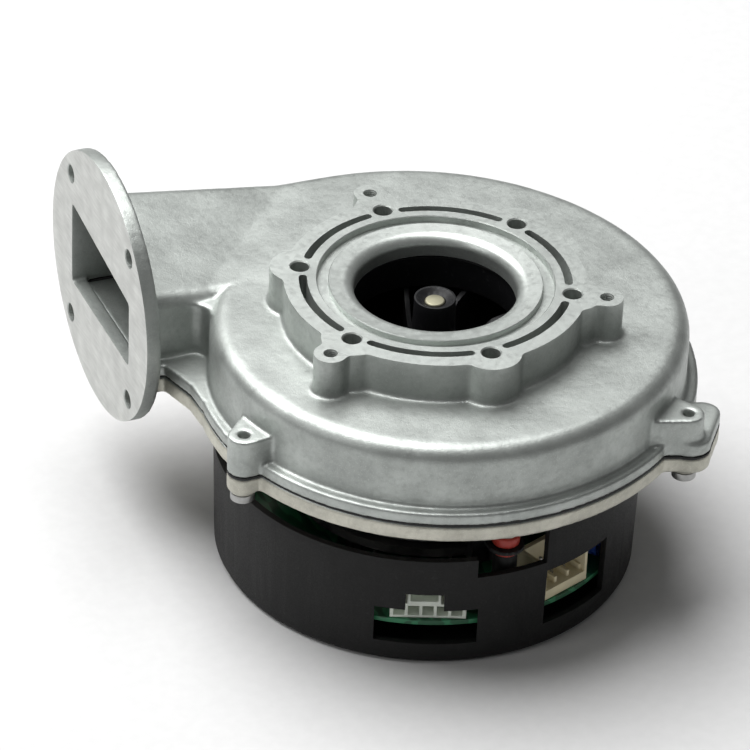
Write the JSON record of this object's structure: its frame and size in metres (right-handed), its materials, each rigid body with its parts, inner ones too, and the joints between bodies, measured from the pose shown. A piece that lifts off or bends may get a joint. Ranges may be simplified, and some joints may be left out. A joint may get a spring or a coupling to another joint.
{
  "type": "combustion fan",
  "caption": "Centrifugal combustion air fan: die-cast volute with bell-mouthed inlet ring and round outlet flange, driven by an external-rotor motor in a black cover.",
  "frame": {"origin": "centre of the inlet ring's machined top face, on the fan axis", "axes": "+Z along the fan axis, out of the inlet; the outlet blows towards -X"},
  "size_m": [0.1627, 0.1754, 0.1117],
  "materials": {
    "cast_aluminium": "die-cast, satin",
    "cast_aluminium_warm": "die-cast, matt",
    "gasket_black": "matt",
    "steel": "zinc plated",
    "bearing_steel": "ground",
    "seal_plastic": "matt",
    "impeller_black": "moulded, matt",
    "shaft_steel": "ground",
    "magnet": "sintered",
    "lamination": "laminated",
    "copper": "enamelled wire",
    "insulator": "moulded",
    "cage_brass": "pressed",
    "carrier_black": "glass-filled, matt",
    "silicone_red": "satin",
    "board_green": "solder resist",
    "connector_white": "moulded nylon",
    "connector_beige": "moulded nylon",
    "contact_tin": "tin plated",
    "capacitor_sleeve": "shrink sleeve",
    "film_yellow": "moulded",
    "choke_green": "coated core",
    "varistor_blue": "dipped epoxy",
    "module_black": "moulded epoxy",
    "cover_black": "moulded, fine grain"
  },
  "bodies": {
    "housing": {"upper_casting": "cast_aluminium", "lower_casting": "cast_aluminium_warm", "casing_gasket": "gasket_black", "casing_screws": "steel", "shaft_seal": "seal_plastic", "upper_bearing_outer": "bearing_steel", "lower_bearing_outer": "bearing_steel", "preload_spring": "steel", "bearing_tube": "cast_aluminium", "tube_screws": "steel", "stator_core": "lamination", "stator_insulator": "insulator", "stator_windings": "copper", "winding_terminals": "contact_tin", "motor_carrier": "carrier_black", "isolator_front": "silicone_red", "isolator_right": "silicone_red", "isolator_left": "silicone_red", "isolator_sleeves": "steel", "motor_screws": "steel", "circuit_board": "board_green", "board_screws": "steel", "control_connector": "connector_white", "control_pins": "contact_tin", "mains_connector": "connector_beige", "mains_pins": "contact_tin", "bulk_capacitor": "capacitor_sleeve", "suppression_capacitor": "film_yellow", "line_choke": "choke_green", "varistor": "varistor_blue", "power_module": "module_black", "motor_cover": "cover_black"},
    "rotor": {"impeller": "impeller_black", "impeller_shroud": "impeller_black", "hub_bush": "bearing_steel", "shaft": "shaft_steel", "rotor_cup": "steel", "rotor_magnet": "magnet", "upper_bearing_inner": "bearing_steel", "lower_bearing_inner": "bearing_steel", "shaft_clip": "steel"},
    "upper_cage": {"upper_bearing_balls": "bearing_steel", "upper_bearing_cage": "cage_brass"},
    "lower_cage": {"lower_bearing_balls": "bearing_steel", "lower_bearing_cage": "cage_brass"}
  },
  "joints": [
    {"name": "rotor_spin", "type": "hinge", "parent": "housing", "child": "rotor", "pos_m": [0, 0, 0], "axis": [0, 0, 1], "continuous": true},
    {"name": "upper_cage_spin", "type": "hinge", "parent": "housing", "child": "upper_cage", "pos_m": [0, 0, -0.051], "axis": [0, 0, 1], "continuous": true},
    {"name": "lower_cage_spin", "type": "hinge", "parent": "housing", "child": "lower_cage", "pos_m": [0, 0, -0.067], "axis": [0, 0, 1], "continuous": true}
  ],
  "couplings": [
    {"joint": "upper_cage_spin", "follows": "rotor_spin", "ratio": 0.36},
    {"joint": "lower_cage_spin", "follows": "rotor_spin", "ratio": 0.36}
  ]
}
